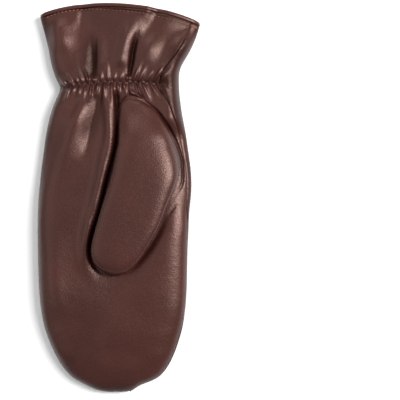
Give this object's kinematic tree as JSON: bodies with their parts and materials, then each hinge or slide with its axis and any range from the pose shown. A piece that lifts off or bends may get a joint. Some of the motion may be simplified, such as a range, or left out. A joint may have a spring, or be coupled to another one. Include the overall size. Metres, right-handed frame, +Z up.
{
  "type": "leather mitten",
  "caption": "Left-hand dress mitten of smooth leather lying palm up, hollow, with a gathered wrist, a flared cuff, an inset thumb and raised points on the back",
  "frame": {"origin": "middle of the bounding box on the surface that the mitten lies on", "axes": "+X to the thumb side, +Y from the fingertips to the cuff, +Z up out of the palm"},
  "size_m": [0.1096, 0.2604, 0.0304],
  "materials": {
    "leather": "satin, fine grain",
    "binding": "satin"
  },
  "bodies": {
    "root": {"palm_panel": "leather", "back_panel": "leather", "thumb": "leather", "hem_binding": "binding"}
  },
  "joints": []
}
